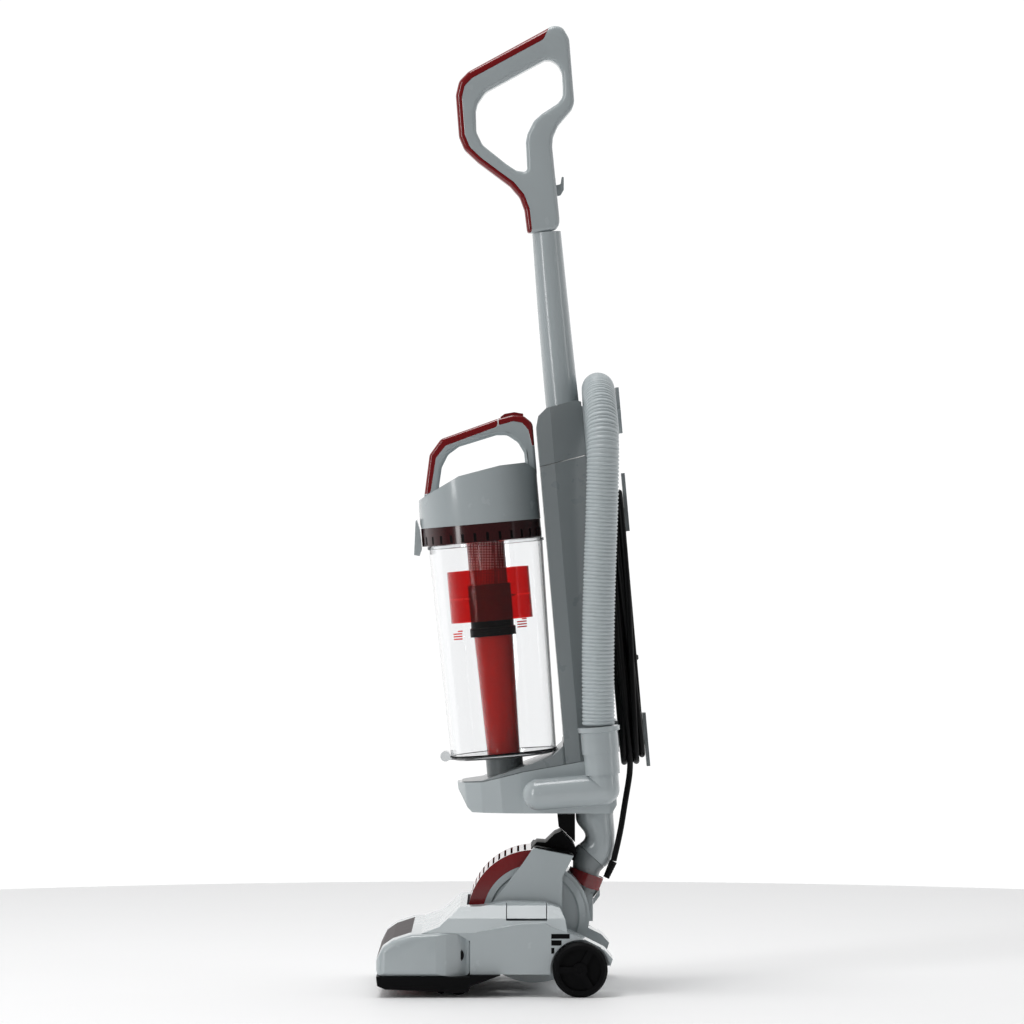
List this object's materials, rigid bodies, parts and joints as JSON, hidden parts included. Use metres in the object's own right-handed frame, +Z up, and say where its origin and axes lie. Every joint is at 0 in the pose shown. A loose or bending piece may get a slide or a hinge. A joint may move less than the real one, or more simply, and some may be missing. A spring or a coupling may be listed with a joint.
{
  "type": "upright vacuum cleaner",
  "caption": "Leaning upright cleaner with a clear cyclone cup, side hose, rear cord hooks, motor drum and brush head on wheels.",
  "frame": {"origin": "middle of the footprint, on the floor", "axes": "+X to the user's left, -Y to the front, +Z up"},
  "size_m": [0.3, 0.3072, 1.0892],
  "materials": {
    "shell_grey": "gloss",
    "gloss_red": "gloss",
    "clear_red": "gloss",
    "clear": "gloss",
    "smoked_clear": "gloss",
    "black_plastic": "matte",
    "black_rubber": "matte",
    "motor_metal": "satin",
    "steel": "satin",
    "cord_black": "satin",
    "hose_grey": "satin"
  },
  "bodies": {
    "head": {"nozzle_housing": "shell_grey", "nozzle_window": "smoked_clear", "soleplate": "black_plastic", "head_body": "shell_grey", "vent_inserts": "black_plastic", "rear_axles": "steel", "brush_motor": "motor_metal", "drive_belt": "black_rubber"},
    "power_pedal": {"power_pedal": "shell_grey"},
    "wheel_left": {"wheel_left": "black_plastic"},
    "wheel_right": {"wheel_right": "black_plastic"},
    "roller_left": {"roller_left": "black_rubber"},
    "roller_right": {"roller_right": "black_rubber"},
    "brush": {"brush_roll": "gloss_red"},
    "pinion": {"motor_pinion": "black_plastic"},
    "yoke": {"drum_housing": "shell_grey", "exhaust_grille": "gloss_red", "drum_cover_left": "shell_grey", "drum_cover_right": "shell_grey", "suction_motor": "motor_metal", "yoke_arm_left": "shell_grey", "yoke_arm_right": "shell_grey", "yoke_bridge": "black_plastic", "duct_stub": "shell_grey", "duct_collar": "gloss_red"},
    "fan": {"motor_fan": "black_plastic"},
    "release_lever": {"release_lever": "shell_grey"},
    "upright": {"base_housing": "shell_grey", "hose_elbow": "shell_grey", "hose_port": "shell_grey", "hose": "hose_grey", "hose_hanger": "shell_grey", "spine_lower": "shell_grey", "spine_cap": "shell_grey", "back_cover": "shell_grey", "duct_seal": "black_rubber", "handle_tube": "shell_grey", "handle_loop": "shell_grey", "handle_grip": "gloss_red", "duct_elbow": "shell_grey", "neck_bracket": "black_plastic", "cord_winding": "cord_black", "cord_tails": "cord_black", "strain_relief": "black_plastic", "cord_hook_lower": "shell_grey", "plug": "black_plastic"},
    "cord_hook_upper": {"cord_hook_upper": "shell_grey"},
    "hose_cuff": {"hose_cuff": "shell_grey"},
    "dust_cup": {"dust_cup": "clear", "bottom_door": "clear", "filter_ring": "clear_red", "cup_lid": "shell_grey", "carry_handle": "shell_grey", "carry_grip": "gloss_red", "shroud": "clear_red", "cyclone_core": "black_plastic", "inner_tube": "clear_red", "cyclone_skirt": "clear_red"},
    "release_button": {"release_button": "gloss_red"},
    "cup_latch": {"cup_latch": "shell_grey"}
  },
  "joints": [
    {"name": "recline", "type": "hinge", "parent": "head", "child": "yoke", "pos_m": [0, 0.0219, 0.0835], "axis": [1, 0, 0], "range_deg": [-65, 0]},
    {"name": "steer", "type": "hinge", "parent": "yoke", "child": "upright", "pos_m": [0, 0.0874, 0.148], "axis": [0, 0.682, 0.7314], "range_deg": [-20, 20]},
    {"name": "cup_lift", "type": "slide", "parent": "upright", "child": "dust_cup", "axis": [0, -0.9664, 0.2569], "range_m": [0, 0.13]},
    {"name": "cup_latch", "type": "hinge", "parent": "dust_cup", "child": "cup_latch", "pos_m": [0, -0.10859, 0.50222], "axis": [1, 0, 0], "range_deg": [0, 7], "stiffness_Nm_per_rad": 0.3, "springref_deg": -5.73},
    {"name": "cup_release", "type": "slide", "parent": "dust_cup", "child": "release_button", "axis": [0, 0.0872, -0.9962], "range_m": [0, 0.003], "stiffness_N_per_m": 800, "springref_m": -0.001},
    {"name": "cord_hook_turn", "type": "hinge", "parent": "upright", "child": "cord_hook_upper", "pos_m": [0, 0.10864, 0.52624], "axis": [0, 0.9962, 0.0872], "range_deg": [0, 180]},
    {"name": "cuff_twist", "type": "hinge", "parent": "upright", "child": "hose_cuff", "pos_m": [0.088, 0.09507, 0.28213], "axis": [0, -0.0872, 0.9962], "range_deg": [0, 30]},
    {"name": "wheel_left_spin", "type": "hinge", "parent": "head", "child": "wheel_left", "pos_m": [0.139, 0.0724, 0.0305], "axis": [1, 0, 0], "continuous": true},
    {"name": "wheel_right_spin", "type": "hinge", "parent": "head", "child": "wheel_right", "pos_m": [-0.139, 0.0724, 0.0305], "axis": [1, 0, 0], "continuous": true},
    {"name": "roller_left_spin", "type": "hinge", "parent": "head", "child": "roller_left", "pos_m": [0.102, -0.0626, 0.011], "axis": [1, 0, 0], "continuous": true},
    {"name": "roller_right_spin", "type": "hinge", "parent": "head", "child": "roller_right", "pos_m": [-0.102, -0.0626, 0.011], "axis": [1, 0, 0], "continuous": true},
    {"name": "brush_spin", "type": "hinge", "parent": "head", "child": "brush", "pos_m": [0, -0.1201, 0.033], "axis": [1, 0, 0], "continuous": true},
    {"name": "pinion_spin", "type": "hinge", "parent": "head", "child": "pinion", "pos_m": [0.129, -0.0651, 0.046], "axis": [1, 0, 0], "continuous": true},
    {"name": "fan_spin", "type": "hinge", "parent": "yoke", "child": "fan", "pos_m": [0, 0.0219, 0.0835], "axis": [1, 0, 0], "continuous": true},
    {"name": "power_press", "type": "slide", "parent": "head", "child": "power_pedal", "axis": [0, 0, -1], "range_m": [0, 0.0035], "stiffness_N_per_m": 1500, "springref_m": -0.001},
    {"name": "release_press", "type": "hinge", "parent": "yoke", "child": "release_lever", "pos_m": [0, 0.0892, 0.0934], "axis": [1, 0, 0], "range_deg": [-18, 0], "stiffness_Nm_per_rad": 0.4, "springref_deg": 5.73}
  ],
  "couplings": [
    {"joint": "pinion_spin", "follows": "brush_spin", "ratio": 2}
  ]
}
